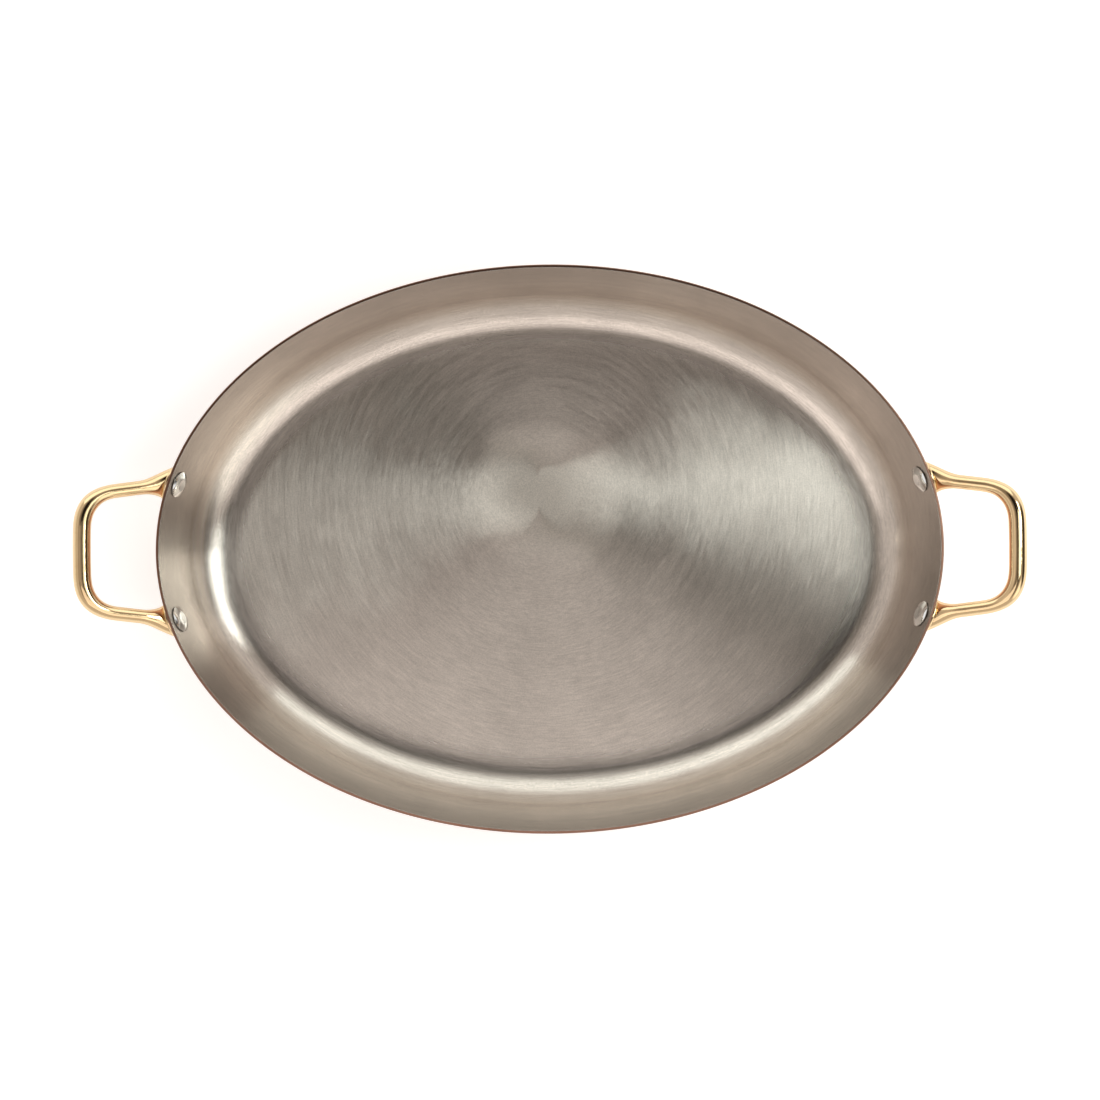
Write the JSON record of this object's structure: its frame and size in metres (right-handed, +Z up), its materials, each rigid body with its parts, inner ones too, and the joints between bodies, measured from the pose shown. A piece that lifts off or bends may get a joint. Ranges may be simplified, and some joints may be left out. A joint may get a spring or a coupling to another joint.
{
  "type": "oval serving dish",
  "caption": "Oval serving and baking dish with a flat floor and flared wall, in copper lined with brushed steel, with riveted cast brass loop handles at its ends.",
  "frame": {"origin": "middle of the flat base, on the surface that the dish stands on", "axes": "+X along the dish's long axis, from one handle to the other; +Y across it; +Z up out of the dish"},
  "size_m": [0.4328, 0.26, 0.0565],
  "materials": {
    "copper": "satin polished copper",
    "lining_steel": "stainless steel, brushed round the dish",
    "cast_brass": "mirror polished",
    "rivet_steel": "polished stainless steel"
  },
  "bodies": {
    "root": {"copper_shell": "copper", "steel_lining": "lining_steel", "handle_right": "cast_brass", "handle_left": "cast_brass", "rivet_right_rear": "rivet_steel", "rivet_right_front": "rivet_steel", "rivet_left_rear": "rivet_steel", "rivet_left_front": "rivet_steel"}
  },
  "joints": []
}
